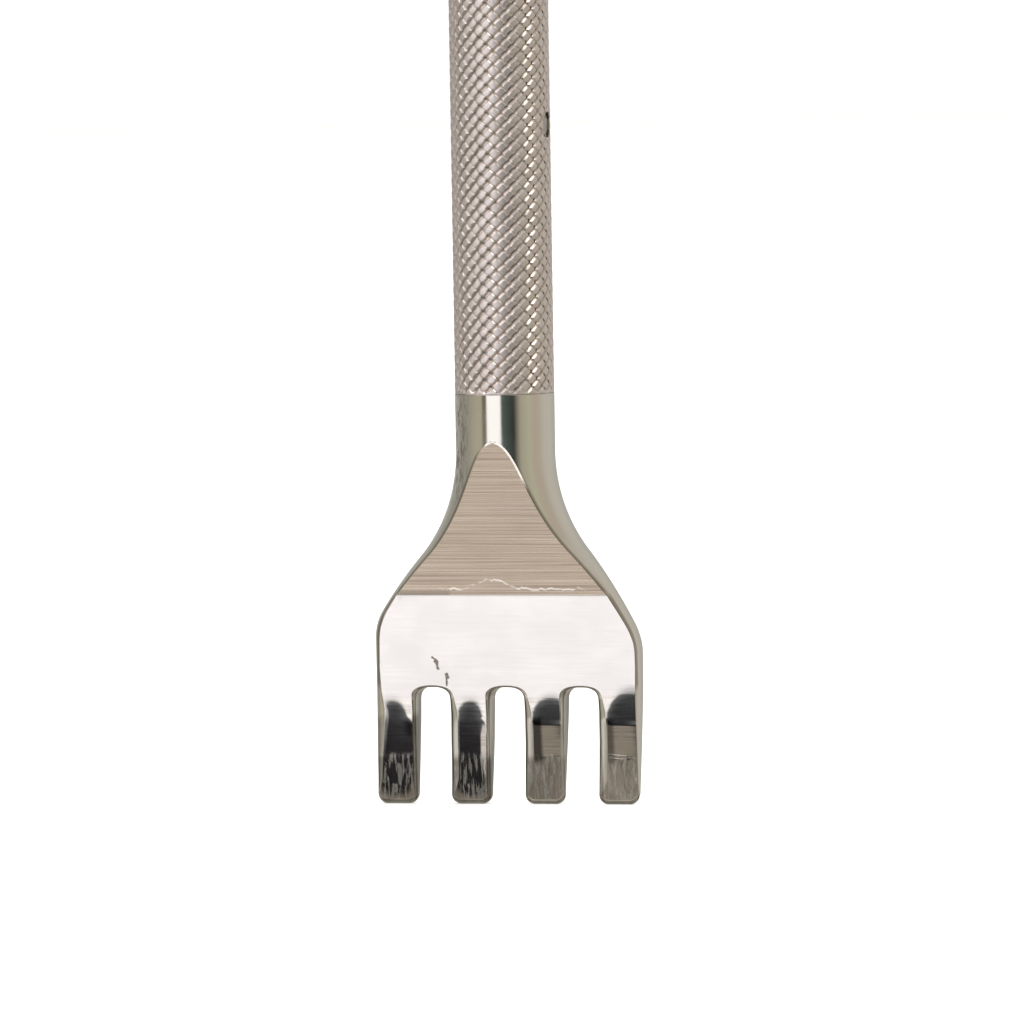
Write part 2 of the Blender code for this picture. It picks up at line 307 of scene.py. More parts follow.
def slot_top(centre, steps=44):
    """Round top of a slot, from its left wall over to its right wall."""
    half = SLOT_WIDTH / 2.0
    power = 2.0 / SLOT_SQUARENESS
    for i in range(steps + 1):
        angle = math.pi * (1.0 - i / steps)
        across, up = math.cos(angle), math.sin(angle)
        x = half * math.copysign(abs(across) ** power, across)
        z = SLOT_RISE * max(up, 0.0) ** power
        steep = SLOT_SQUARENESS - 1.0
        normal_x = math.copysign(abs(x / half) ** steep / half, across)
        normal_z = (z / SLOT_RISE) ** steep / SLOT_RISE
        size = math.hypot(normal_x, normal_z)
        yield (centre + x, SLOT_SPRING + z), (normal_x / size, normal_z / size)


def tine_and_slot_walls():
    """The wall from the left side's foot to the right side's foot, round every tip and slot."""
    foot = float(outline(TIP_CORNER, LEFT))
    left_edges = [-foot] + [c + SLOT_WIDTH / 2.0 for c in SLOT_CENTRES]
    right_edges = [c - SLOT_WIDTH / 2.0 for c in SLOT_CENTRES] + [foot]
    for i, (left, right) in enumerate(zip(left_edges, right_edges)):
        if i:
            top, spring = (left, TIP_CORNER), (left, SLOT_SPRING)
            yield from straight_run(spring, top, (1.0, 0.0))
        low_left, low_right = (left + TIP_CORNER, 0.0), (right - TIP_CORNER, 0.0)
        yield from corner_arc(low_left[0], math.pi)
        yield from straight_run(low_left, low_right, (0.0, 1.0))
        yield from corner_arc(low_right[0], 1.5 * math.pi)
        if i < len(SLOT_CENTRES):
            yield from straight_run((right, TIP_CORNER), (right, SLOT_SPRING), (-1.0, 0.0))
            yield from slot_top(SLOT_CENTRES[i])


def head_columns():
    """Every column of the front's rim, from the seam down the left, round the tines and up."""
    heights = side_heights()
    columns = [side_column(z, LEFT) for z in heights]
    walls = list(tine_and_slot_walls())[1:-1]
    columns += [wall_column(point, inward) for point, inward in walls]
    columns += [side_column(z, RIGHT) for z in heights[::-1]]
    return columns


def inner_points(rim):
    """Points inside the face: close together on the hollow tines, wide apart above them."""
    rim = np.array(rim)
    grids = []
    for low, high, step in ((0.2, 10.0, 0.15), (10.1, RAMP_APEX, 0.55)):
        x, z = np.meshgrid(np.arange(-11.0, 11.0, step), np.arange(low, high, step))
        grids.append(np.stack([x.ravel(), z.ravel(), np.full(x.size, 0.55 * step)], axis=-1))
    points = np.concatenate(grids)
    away = np.array([np.min(np.hypot(*(rim - p[:2]).T)) for p in points])
    return points[(away > points[:, 2]) & inside(points[:, :2], rim)][:, :2]


def inside(points, rim):
    """Which points lie within the closed outline rim, by counting crossings."""
    x, z = points[:, 0], points[:, 1]
    hit = np.zeros(len(points), bool)
    for (x0, z0), (x1, z1) in zip(rim, np.roll(rim, -1, axis=0)):
        if z0 == z1:
            continue
        crosses = (z0 > z) != (z1 > z)
        hit ^= crosses & (x < x0 + (z - z0) * (x1 - x0) / (z1 - z0))
    return hit


def crisp_rows(rim):
    """Rows of points across the face along the line where it meets the ramp."""
    rows = []
    for z in VALLEY_ROWS:
        ends = sorted(x for x, row_z in rim if abs(row_z - z) < 1e-6)
        rows.append([(x, z) for x in np.linspace(ends[0], ends[-1], 60)[1:-1]])
    return rows


def fill_face(rim):
    """Triangles over the face within rim, as points and faces. The rim's points come first."""
    points = [tuple(p) for p in rim]
    edges = [(i, (i + 1) % len(rim)) for i in range(len(rim))]
    for row in crisp_rows(rim):
        first = len(points)
        points += row
        edges += [(i, i + 1) for i in range(first, len(points) - 1)]
    fixed = np.array(points)
    for point in inner_points(rim):
        if np.min(np.hypot(*(fixed[len(rim):] - point).T)) > 0.1:
            points.append(tuple(point))
    loop = [list(range(len(rim)))]
    result = delaunay_2d_cdt([Vector(p) for p in points], edges, loop, 1, 1e-7)
    return result[0], result[2], result[3]


def make_mesh_object(name, vertices, faces, normals=None):
    """Object from points in millimetres, shaded smooth, with its own normals if they are given."""
    mesh = bpy.data.meshes.new(name)
    mesh.from_pydata([tuple(v) for v in np.asarray(vertices) * MM], [], faces)
    mesh.validate()
    mesh.shade_smooth()
    if normals is not None:
        mesh.normals_split_custom_set_from_vertices([tuple(n) for n in normals])
    piece = bpy.data.objects.new(name, mesh)
    bpy.context.scene.collection.objects.link(piece)
    return piece


def set_askew(points):
    """Leans the tines and draws them together, growing from nothing above the slots."""
    points = np.array(points)
    below = np.maximum(LEAN_TOP - points[:, 2], 0.0)
    below = np.where(below < 1.0, 0.5 * below * below, below - 0.5)
    points[:, 0] -= below * (TINE_LEAN + TINE_CLOSING * points[:, 0])
    return points


class Shell:
    """Points, normals and faces of a mesh while it is put together."""

    def __init__(self):
        self.points, self.normals, self.faces, self.kinds = [], [], [], []

    def add(self, point, normal):
        self.points.append(tuple(point))
        self.normals.append(tuple(normal))
        return len(self.points) - 1

    def face(self, corners, kind=0):
        kept = [c for i, c in enumerate(corners) if c != corners[i - 1]]
        if len(kept) > 2:
            self.faces.append(kept)
            self.kinds.append(kind)


BRIGHT, RAMP, FLAT, TINE = range(4)


def face_kind(points):
    """Which finish a piece of the face has, from where its middle lies."""
    x, _, z = np.mean(points, axis=0)
    if z > RAMP_LOW[0]:
        return RAMP
    tine = int(np.clip(math.floor(x / TINE_PITCH + 2.0), 0, 3))
    return TINE if z < HOLLOWS[tine][0] + 0.2 else FLAT


def build_head():
    """Both faces with their rounded rims, the walls between them, and the top of the neck."""
    columns = head_columns()
    shell = Shell()
    rim = [(points[-1][0], points[-1][2]) for points, _ in columns]
    on_axis = [abs(x) < 1e-6 for x, _ in rim]
    first = on_axis.index(False) - 1
    last = len(rim) - on_axis[::-1].index(False)
    inner_rim = rim[first:last]
    flat_points, triangles, origins = fill_face(inner_rim)
    grids = []
    for mirror in (1, -1):
        flip = np.array([1.0, mirror, 1.0])
        grid = []
        axis_points = {}
        for points, normals in columns:
            column = [shell.add(p * flip, n * flip) for p, n in zip(points[:-1], normals[:-1])]
            x, _, z = points[-1]
            key = round(z, 6)
            if abs(x) < 1e-6 and key in axis_points:
                column.append(axis_points[key])
            else:
                column.append(shell.add(points[-1] * flip, normals[-1] * flip))
                if abs(x) < 1e-6:
                    axis_points[key] = column[-1]
            grid.append(column)
        grids.append(grid)
        for a, b in zip(grid, grid[1:]):
            for i in range(EDGE_STEPS):
                corners = [a[i], b[i], b[i + 1], a[i + 1]]
                shell.face(corners[::mirror], BRIGHT)
        known = {}
        for new, sources in enumerate(origins):
            from_rim = [s for s in sources if s < len(inner_rim)]
            if from_rim:
                known[new] = grid[first + from_rim[0]][-1]
                continue
            x, z = flat_points[new]
            normal = unit(face_normal(x, z)) * flip
            known[new] = shell.add((x, -float(face_depth(x, z)) * mirror, z), normal)
        for triangle in triangles:
            corners = [known[i] for i in triangle]
            kind = face_kind([shell.points[i] for i in corners])
            shell.face(corners[::mirror], kind)
    front, back = grids
    for a, b, c, d in zip(front, front[1:], back, back[1:]):
        shell.face([b[0], a[0], c[0], d[0]], BRIGHT)
    close_neck(shell, front, back)
    return shell


def close_neck(shell, front, back):
    """Closes the top of the neck with a flat shoulder that has a small rounded edge."""
    ring = front[0] + front[-1][-2::-1] + back[-1] + back[0][-2::-1]
    source = [np.array(shell.points[i]) for i in ring]
    below = ring
    turns = ((0.01, SEAM_Z - 0.008, 0.7), (NECK_EDGE, SEAM_Z, 1.0), (1.0, SEAM_Z, 1.0))
    for inset, z, lift in turns:
        above = []
        for point in source:
            out = point * [1.0, 1.0, 0.0] / SHANK_RADIUS
            place = out * (SHANK_RADIUS - inset)
            normal = unit(out * (1.0 - lift) + np.array([0.0, 0.0, lift]))
            above.append(shell.add((place[0], place[1], z), normal))
        for i in range(len(ring)):
            j = (i + 1) % len(ring)
            shell.face([below[i], below[j], above[j], above[i]], BRIGHT)
        below = above
    shell.face(below, BRIGHT)


# ---- turned parts ----

TANG_RADIUS = 2.5
BORE_RADIUS = 2.55
BORE_TOP_Z = TANG_TOP_Z + 0.5
PIN_Z = (PIN_LOW.z + PIN_HIGH.z) / 2.0
PIN_RADIUS = PIN_HIGH.y
PIN_HOLE_RADIUS = PIN_RADIUS + 0.04
DRILL_REACH = 6.0                  # half length of the pin hole's drill: out at both sides
SEAM_GAP = 0.012

KNURL_STARTS = 22
KNURL_PITCH = 1.096
KNURL_DEPTHS = (0.060, 0.120)      # of the left-hand grooves and of the right-hand ones cut over them
KNURL_STEEPNESS = (4.0, 2.0)       # over 1, so that each diamond keeps a broad top
KNURL_DIAMONDS = 46
KNURL_CELLS = 8                    # mesh squares across one diamond
KNURL_DOME = 0.012                 # how far the middle of a diamond's top stands over its edges
KNURL_WEAR = 0.02                  # share by which the grooves' depth varies
KNURL_CROSSING = 0.35              # share of the shallower groove that is added where two cross
KNURL_RUN_IN = 0.25
KNURL_BOTTOM = HANDLE_LOW.z
KNURL_TOP = KNURL_BOTTOM + KNURL_DIAMONDS * KNURL_PITCH


def circle(radius, z, count):
    angle = 2.0 * math.pi * np.arange(count) / count
    flat = np.full(count, z)
    return np.stack([radius * np.cos(angle), radius * np.sin(angle), flat], axis=-1)


def ring_faces(row, count):
    """Squares between ring number row and the next one."""
    low, high = row * count, (row + 1) * count
    for i in range(count):
        j = (i + 1) % count
        yield [low + i, low + j, high + j, high + i]


def knurl_rows():
    """Rings of the knurled grip: two crossed sets of grooves that leave flat-topped diamonds."""
    count = KNURL_STARTS * KNURL_CELLS
    wear = np.random.RandomState(7).uniform(-1.0, 1.0, (2, 3, 5))
    for row in range(KNURL_DIAMONDS * KNURL_CELLS + 1):
        rise = row / KNURL_CELLS
        turn = np.arange(count) / KNURL_CELLS
        grooves = [2.0 * np.abs(line - np.round(line)) for line in (turn + rise, turn - rise)]
        nearest = np.minimum(*grooves)
        dome = KNURL_DOME * np.maximum(1.0 - nearest, 0.0)
        z = KNURL_BOTTOM + rise * KNURL_PITCH
        fade = min(1.0, (z - KNURL_BOTTOM + 0.03) / KNURL_RUN_IN, (KNURL_TOP - z) / KNURL_RUN_IN)
        angle = 2.0 * math.pi * turn / KNURL_STARTS
        uneven = np.zeros(count)
        for k in range(3):
            for m in range(5):
                uneven += wear[0, k, m] * np.sin((k + 1) * angle + 2.1 * m + 0.37 * (m + 1) * z)
        cut = np.zeros(count)
        for depth, steepness, groove in zip(KNURL_DEPTHS, KNURL_STEEPNESS, grooves):
            wall = 1.0 - np.minimum(1.0, steepness * groove)
            ground = depth * (1.0 + KNURL_WEAR * uneven) * wall
            cut = np.maximum(cut, ground) + KNURL_CROSSING * np.minimum(cut, ground)
        radius = SHANK_RADIUS - max(fade, 0.0) * cut - dome
        yield np.stack([radius * np.cos(angle), radius * np.sin(angle), np.full(count, z)], -1)


def knurl_faces(row, start):
    """Two triangles to each square, split along the groove that runs nearest to it."""
    count = KNURL_STARTS * KNURL_CELLS
    for i in range(count):
        j = (i + 1) % count
        a, b = (start + row) * count + i, (start + row) * count + j
        c, d = a + count, b + count
        along_u = (i + row + 1) % KNURL_CELLS
        along_v = (i - row) % KNURL_CELLS
        far_u = min(along_u, KNURL_CELLS - along_u)
        far_v = min(along_v, KNURL_CELLS - along_v)
        if far_v < far_u:
            yield [a, b, d]
            yield [a, d, c]
        else:
            yield [a, b, c]
            yield [b, d, c]


KNURLED, PLAIN, STRUCK, BORE = range(4)


def build_handle():
    """Bar with its bore, the knurled grip, the plain end and the rounded striking face."""
    count = KNURL_STARTS * KNURL_CELLS
    foot = SEAM_Z + SEAM_GAP
    rings = [
        circle(BORE_RADIUS, BORE_TOP_Z, count),
        circle(BORE_RADIUS, foot + 0.1, count),
        circle(BORE_RADIUS + 0.1, foot, count),
        circle(SHANK_RADIUS - 0.04, foot, count),
        circle(SHANK_RADIUS - 0.02, foot + 0.008, count),
    ]
    start = len(rings)
    knurl = list(knurl_rows())
    rings += knurl
    kinds = [BORE] * 4 + [KNURLED] * len(knurl)
    plain = [(0.0, KNURL_TOP + 0.05)]
    plain += [(0.0, z) for z in np.linspace(KNURL_TOP + 0.6, TOP_Z - 0.95, 12)]
    corner = [(0.0, 0.80), (0.02, 0.66), (0.08, 0.54), (0.46, 0.14), (0.58, 0.04), (0.74, 0.0)]
    plain += [(inset, TOP_Z - drop) for inset, drop in corner]
    rings += [circle(SHANK_RADIUS - inset, z, count) for inset, z in plain]
    kinds += [PLAIN] * (len(plain) - 1) + [STRUCK, STRUCK]
    rings += [circle(SHANK_RADIUS - 0.9, TOP_Z, count)]
    faces = [list(range(count))[::-1]]
    face_kinds = [BORE]
    for row in range(len(rings) - 1):
        if start <= row < start + len(knurl) - 1:
            made = list(knurl_faces(row - start, start))
        else:
            made = list(ring_faces(row, count))
        faces += made
        face_kinds += [kinds[row]] * len(made)
    last = (len(rings) - 1) * count
    faces.append(list(range(last, last + count)))
    face_kinds.append(STRUCK)
    return np.concatenate(rings), faces, face_kinds


def turned(name, profile, count=64):
    """Closed solid of revolution about Z from (radius, z) points, from its lowest to its highest."""
    points = np.concatenate([circle(radius, z, count) for radius, z in profile])
    faces = [list(range(count))[::-1]]
    for row in range(len(profile) - 1):
        faces += ring_faces(row, count)
    last = (len(profile) - 1) * count
    faces.append(list(range(last, last + count)))
    piece = make_mesh_object(name, points, faces)
    piece.data.set_sharp_from_angle(angle=math.radians(30.0))
    return piece


def rounded_ends(radius, low, high, corner):
    """Profile of a rod whose two ends have rounded corners."""
    turns = [math.radians(a) for a in (90.0, 67.5, 45.0, 22.5, 0.0)]
    inset = radius - corner
    bottom = [(inset + corner * math.cos(t), low + corner * (1.0 - math.sin(t))) for t in turns]
    top = [(r, high + low - z) for r, z in bottom[::-1]]
    return [(inset * 0.9, low)] + bottom + top + [(inset * 0.9, high)]


def lay_along_x(piece, z):
    """Turns a rod made about Z so that it lies along X at height z, in its mesh."""
    points = np.array([v.co for v in piece.data.vertices])
    turned_points = np.stack([points[:, 2], points[:, 0], points[:, 1] + z * MM], axis=-1)
    piece.data.vertices.foreach_set("co", turned_points.ravel())
    piece.data.update()


def drill(pieces, z, radius, reach):
    """Cuts the cross pin's hole through each of the pieces, into their meshes."""
    cutter = turned("pin_drill", [(radius, -reach), (radius, reach)])
    lay_along_x(cutter, z)
    for piece in pieces:
        step = piece.modifiers.new("pin_hole", "BOOLEAN")
        step.operation = "DIFFERENCE"
        step.solver = "EXACT"
        step.object = cutter
        cut = piece.evaluated_get(bpy.context.evaluated_depsgraph_get())
        mesh = bpy.data.meshes.new_from_object(cut)
        piece.modifiers.clear()
        piece.data = mesh
        mesh.name = piece.name
    bpy.data.objects.remove(cutter)


# ---- finishes ----

class Value:
    """Output of a shader node, which can be added, multiplied and blended like a number."""

    def __init__(self, tree, socket):
        self.tree, self.socket = tree, socket

    def __add__(self, other):
        return maths("ADD", self, other)

    def __sub__(self, other):
        return maths("SUBTRACT", self, other)

    def __rsub__(self, other):
        return maths("SUBTRACT", other, self)

    def __mul__(self, other):
        return maths("MULTIPLY", self, other)

    def __truediv__(self, other):
        return maths("DIVIDE", self, other)

    def __abs__(self):
        return maths("ABSOLUTE", self)


def add(tree, kind, inputs=(), **settings):
    """New shader node. What goes into an input is a number, a colour, or the Value to link from."""
    made = tree.nodes.new("ShaderNode" + kind)
    for key, value in settings.items():
        setattr(made, key, value)
    for key, value in dict(inputs).items():
        if isinstance(value, Value):
            tree.links.new(value.socket, made.inputs[key])
        else:
            made.inputs[key].default_value = value
    return made


def take(tree, kind, inputs=(), output=0, **settings):
    """One output of a new shader node."""
    return Value(tree, add(tree, kind, inputs, **settings).outputs[output])


def maths(operation, *values):
    tree = next(value.tree for value in values if isinstance(value, Value))
    return take(tree, "Math", enumerate(values), operation=operation)


def on_vectors(operation, a, b, output=0):
    return take(a.tree, "VectorMath", {0: a, 1: b}, output, operation=operation)


def split(vector):
    """The X, Y and Z of a vector."""
    parts = add(vector.tree, "SeparateXYZ", {0: vector}).outputs
    return [Value(vector.tree, part) for part in parts]


def mix(share, a, b):
    """Number a where share is 0, number b where it is 1."""
    return take(share.tree, "Mix", {0: share, 2: a, 3: b})


def blend(share, a, b):
    """Colour a where share is 0, colour b where it is 1."""
    pair = [c if isinstance(c, Value) else (*c, 1.0) for c in (a, b)]
    inputs = {0: share, 6: pair[0], 7: pair[1]}
    return take(share.tree, "Mix", inputs, 2, data_type="RGBA", clamp_factor=True)


def between(value, low, high, to_low=0.0, to_high=1.0):
    """Smooth rise of value from to_low at low to to_high at high."""
    inputs = {0: value, 1: low, 2: high, 3: to_low, 4: to_high}
    return take(value.tree, "MapRange", inputs, interpolation_type="SMOOTHSTEP")


def grain(place, stretch, detail=3.0, roughness=0.55):
    """Noise from 0 to 1 about 0.5, with stretch features to each millimetre along X, Y and Z."""
    inputs = {"Vector": on_vectors("MULTIPLY", place, stretch), "Scale": 1.0, "Detail": detail}
    return take(place.tree, "TexNoise", {**inputs, "Roughness": roughness})


def spread(noise, reach):
    """Stretches noise about its middle, so that it fills the range from 0 to 1."""
    return between(noise, 0.5 - reach, 0.5 + reach)


def metal(finish):
    """Metal material with the name of its finish, a function of the place in millimetres.

    A finish gives a colour, a roughness, the height (0 to 1) of a bump and its depth in
    millimetres, and, where the surface isn't bare metal all over, how much of it is.
    """
    material = bpy.data.materials.new(finish.__name__)
    material.use_nodes = True
    tree = material.node_tree
    tree.nodes.clear()
    in_metres = {0: take(tree, "TexCoord", output="Object"), "Scale": 1.0 / MM}
    place = take(tree, "VectorMath", in_metres, operation="SCALE")
    colour, roughness, height, depth, *bare = finish(place)
    bump = take(tree, "Bump", {"Height": height, "Distance": depth * MM, "Strength": 1.0})
    inputs = {"Base Color": colour, "Roughness": roughness, "Normal": bump, "IOR": 2.0}
    shader = take(tree, "BsdfPrincipled", {**inputs, "Metallic": bare[0] if bare else 1.0})
    add(tree, "OutputMaterial", {0: shader})
    return material


def stroke(place, start, end, width):
    """Mask of a ragged scratch on the front, from start to end, both given as (x, z)."""
    run = Vector((end[0] - start[0], 0.0, end[1] - start[1]))
    level = on_vectors("MULTIPLY", place, (1.0, 0.0, 1.0))
    away = on_vectors("SUBTRACT", level, (start[0], 0.0, start[1]))
    share = on_vectors("DOT_PRODUCT", away, run, "Value") / run.length_squared
    share = take(place.tree, "Clamp", {0: share})
    nearest = take(place.tree, "VectorMath", {0: run, "Scale": share}, operation="SCALE")
    gap = on_vectors("DISTANCE", away, nearest, "Value")
    ragged = grain(place, (2.2, 0.0, 2.2), 3.0, 0.6)
    distance = gap + (ragged - 0.5) * (3.0 * width)
    return between(distance, width, 0.4 * width) * between(split(place)[1], 0.2, -0.2)


def strokes(place, *scratches):
    """Mask of several scratches, each of them a start, an end and a width."""
    mask, *others = (stroke(place, *scratch) for scratch in scratches)
    for other in others:
        mask = maths("MAXIMUM", mask, other)
    return mask


def painted_edge_shade_and_highlight(x, y, z):
    """Masks of painted shade, a dark line round the ground faces, and of a painted highlight, a bright
    lip high on its right.
    """
    depth = maths("MAXIMUM", *(
        maths("MULTIPLY_ADD", z - foot[0], slope, foot[1])
        for foot, slope in ((FLAT_LOW, FLAT_SLOPE), (RAMP_LOW, RAMP_SLOPE))
    ))
    across = []
    for value in (depth, y):
        sine = value / SHANK_RADIUS
        across.append(maths("SQRT", maths("MAXIMUM", 1.0 - sine * sine, 0.0001)))
    gap = abs(x) * (1.0 - across[0] / across[1])
    below = depth - abs(y)
    high = between(z, 16.5, 17.5)
    on_painted_lip = between(x, 0.3, 0.6) * between(z, 25.3, 26.8)
    apex = between(z, 28.75, 28.95) * between(x, -0.75, -0.5)
    on_painted_lip = maths("MAXIMUM", on_painted_lip, apex) * between(z, 29.5, 29.3)
    painted_lip_highlight = on_painted_lip * between(gap, 0.15, 0.08) * 0.85
    upper = between(gap, 0.26, 0.12) * high * between(z, 29.0, 28.0)
    lower = between(below, 0.42, 0.22) * between(z, 9.0, 10.0) * (1.0 - high)
    return maths("MAXIMUM", upper, lower) - painted_lip_highlight, painted_lip_highlight


# Painted shade: dark strips on the fronts of the walls and tips of the tines: middle and half width
# along X, the height that they reach, and how dark they are
PAINTED_SHADE_STRIPS = (
    (0.0, 11.4, 0.9, 0.6),
    (-10.65, 0.75, 4.0, 0.75), (-10.65, 0.75, 7.0, 0.45), (-7.7, 0.7, 7.2, 0.7),
    (-4.5, 0.9, 3.8, 0.7), (-1.6, 0.6, 3.8, 0.8), (1.8, 0.8, 3.8, 0.6), (4.5, 0.5, 3.8, 0.4),
)


def bright_nickel(place):
    """Polished nickel plate: even and mirror-like, with faint drawing marks, a few dull spots, and
    painted shade and highlights on its edges.
    """
    x, y, z = split(place)
    cloud = grain(place, (0.35, 0.35, 0.35), 4.0)
    drawn = grain(place, (2.4, 2.4, 0.16), 4.0)
    spots = grain(place, (2.8, 2.8, 1.0), 5.0, 0.7)
    on_neck = between(z, 23.0, 28.0) * between(x, -1.8, -3.2)
    tarnish = between(spots, 0.47, 0.60) * on_neck
    colour = blend(spread(cloud, 0.2), (0.78, 0.755, 0.70), (0.83, 0.80, 0.755))
    colour = blend(spread(drawn, 0.3), colour, (0.78, 0.76, 0.70))
    colour = blend(tarnish * 0.8, colour, (0.18, 0.16, 0.12))
    # painted shade along the rims of the ground faces, and a painted highlight on the lip, where the
    # plate is also made non-metal
    line, painted_lip_highlight = painted_edge_shade_and_highlight(x, y, z)
    colour = blend(line * 0.62, colour, (0.20, 0.17, 0.13))
    colour = blend(painted_lip_highlight, colour, (1.0, 0.97, 0.95))
    # darker on the walls of the slots and just beside them
    slot = x / TINE_PITCH
    slot = abs(slot - maths("ROUND", slot))
    slot_wall_darkening = between(slot, 1.75 / TINE_PITCH, 1.5 / TINE_PITCH) * between(z, 9.8, 9.3)
    slot_wall_darkening = slot_wall_darkening * between(abs(x), 9.6, 9.0) * between(drawn, 0.35, 0.6, 0.35, 1.0)
    colour = blend(slot_wall_darkening * 0.8, colour, (0.26, 0.24, 0.21))
    # painted shade: the dark strips, laid on the front only
    painted_shade = 0.0
    for middle, half, reach, share in PAINTED_SHADE_STRIPS:
        strip = between(abs(x - middle), half, half - 0.1, 0.0, share)
        painted_shade = maths("MAXIMUM", painted_shade, strip * between(z, reach + 0.4, reach - 0.4))
    painted_shade = painted_shade * between(spots, 0.3, 0.55, 0.75, 1.0) * between(y, 0.7, -0.5)
    colour = blend(painted_shade, colour, (0.10, 0.10, 0.08))
    roughness = between(cloud, 0.35, 0.65, 0.10, 0.145) + tarnish * 0.25
    return colour, roughness, drawn, 0.0012, 1.0 - painted_lip_highlight


def milled_ramp(place):
    """Nickel over a ramp milled across the blade: fine level lines, warm satin tone, and painted
    highlight and shade along its foot.
    """
    x, y, z = split(place)
    coarse = grain(place, (0.03, 0.0, 2.2), 2.0, 0.5)
    fine = grain(place, (0.05, 0.0, 9.0), 1.0, 0.5)
    cloud = grain(place, (0.3, 0.0, 0.6), 3.0)
    passes = maths("SINE", z * 22.0 + coarse * 14.0) * 0.11
    lines = coarse * 0.3 + fine * 0.7 + passes
    ridge = between(lines, 0.53, 0.68)
    furrow = between(lines, 0.46, 0.32)
    colour = blend(spread(cloud, 0.3), (0.78, 0.70, 0.62), (0.84, 0.76, 0.67))
    colour = blend(furrow * 0.8, colour, (0.60, 0.51, 0.45))
    colour = blend(ridge * 0.9, colour, (0.98, 0.91, 0.85))
    # painted highlight: a bright non-metal line, on the front only, wandering along the foot of the
    # ramp
    wander = grain(place, (0.9, 0.0, 0.0), 3.0, 0.6)
    path = between(abs(x + 0.9), 2.4, 0.4, 0.0, 0.75) + wander * 1.1
    off_path = abs(z - 16.85 - path)
    in_reach = between(abs(x - 0.8), 6.5, 5.0)
    broken = between(grain(place, (0.8, 0.0, 0.3), 2.0), 0.40, 0.52)
    broken = broken * between(y, 0.2, -0.2, 0.0, 0.7)
    painted_foot_highlight = between(off_path, 0.10, 0.03) * in_reach * broken
    colour = blend(painted_foot_highlight, colour, (1.0, 1.0, 1.0))
    # painted shade: a darker band at the left of the ramp's foot, along the crease where it meets the
    # flat face
    foot = between(z, 17.4, 17.2) * between(x, -4.2, -4.7)
    colour = blend(foot * 0.6, colour, (0.50, 0.46, 0.43))
    return colour, between(fine, 0.3, 0.7, 0.34, 0.26), lines, 0.005, 1.0 - painted_foot_highlight * 0.6


def flat_face(place):
    """Nickel over the ground flat face: near-white, with faint level grinding marks and a nick."""
    cloud = grain(place, (0.25, 0.25, 0.4), 4.0)
    lines = grain(place, (0.22, 0.0, 3.4), 4.0, 0.6)
    colour = blend(spread(lines, 0.25), (0.84, 0.815, 0.785), (0.885, 0.865, 0.84))
    colour = blend(spread(cloud, 0.3), colour, (0.865, 0.84, 0.815))
    nick = strokes(
        place,
        ((-5.78, 11.55), (-5.62, 10.95), 0.17),
        ((-6.05, 11.85), (-5.80, 11.70), 0.09),
        ((-4.92, 10.50), (-4.86, 10.25), 0.19),
        ((-4.92, 10.10), (-4.92, 9.60), 0.08),
    )
    colour = blend(nick * 0.9, colour, (0.16, 0.14, 0.11))
    return colour, between(cloud, 0.35, 0.65, 0.125, 0.15), lines - nick * 8.0, 0.0007


def ground_tine(place):
    """Nickel over hand-ground tines: glossy hollows, streaks down the sharpening bevels, and painted
    shade and highlights.
    """
    x, y, z = split(place)
    streaks = grain(place, (2.9, 0.0, 0.42), 2.0, 0.5)
    level = grain(place, (0.3, 0.0, 5.0), 3.0, 0.6)
    cloud = grain(place, (0.9, 0.9, 0.9), 4.0)
    flecks = grain(place, (3.9, 0.0, 0.6), 3.0, 0.6)
    on_bevel = between(z, 4.3, 3.5)
    height = mix(on_bevel, level, streaks) - 0.5
    colour = blend(between(height, -0.2, 0.2), (0.52, 0.49, 0.46), (0.86, 0.83, 0.78))
    colour = blend(spread(cloud, 0.3), colour, (0.74, 0.71, 0.66))
    # painted shade: the bevels are darkened, less on the tine at the right; the dark non-metal flecks
    # over them are grind marks deepened as painted shade
    colour = blend(on_bevel * between(x, 6.0, 7.0, 0.46, 0.05), colour, (0.27, 0.26, 0.225))
    grind_flecks_and_painted_shade = between(flecks, 0.49, 0.62, 0.0, 0.8) * on_bevel * between(x, 6.0, 7.0, 1.0, 0.3)
    colour = blend(grind_flecks_and_painted_shade, colour, (0.034, 0.035, 0.029))
    # painted highlight: two bright non-metal strokes across the tine at the right, where its bevel
    # begins
    lines = strokes(
        place,
        ((8.35, 4.10), (9.80, 3.95), 0.05),
        ((8.40, 3.80), (9.80, 3.68), 0.045),
    ) * 0.35
    colour = blend(lines, colour, (1.0, 0.97, 0.93))
    # painted shade: the left halves of the two tines at the right are darkened on the front
    aside = x / TINE_PITCH
    aside = (aside - maths("FLOOR", aside) - 0.5) * TINE_PITCH
    painted_shade = between(aside + between(x, 5.5, 6.5, 0.0, 0.2), -0.05, -0.42)
    for value, low, high in ((x, -0.5, 0.5), (y, 0.2, -0.2), (z, 7.2, 6.8), (z, 3.0, 3.8)):
        painted_shade = painted_shade * between(value, low, high)
    painted_shade = painted_shade * between(x, 5.5, 6.5, 0.92, 0.68)
    colour = blend(painted_shade, colour, (0.10, 0.10, 0.10))
    roughness = mix(on_bevel, 0.03, 0.05) + cloud * 0.04
    height = height * between(z, 4.3, 3.5, 0.02, 1.0) * between(x, -0.5, 0.5, 0.62, 1.0)
    return colour, roughness, height, 0.028, 1.0 - maths("MAXIMUM", grind_flecks_and_painted_shade, lines)


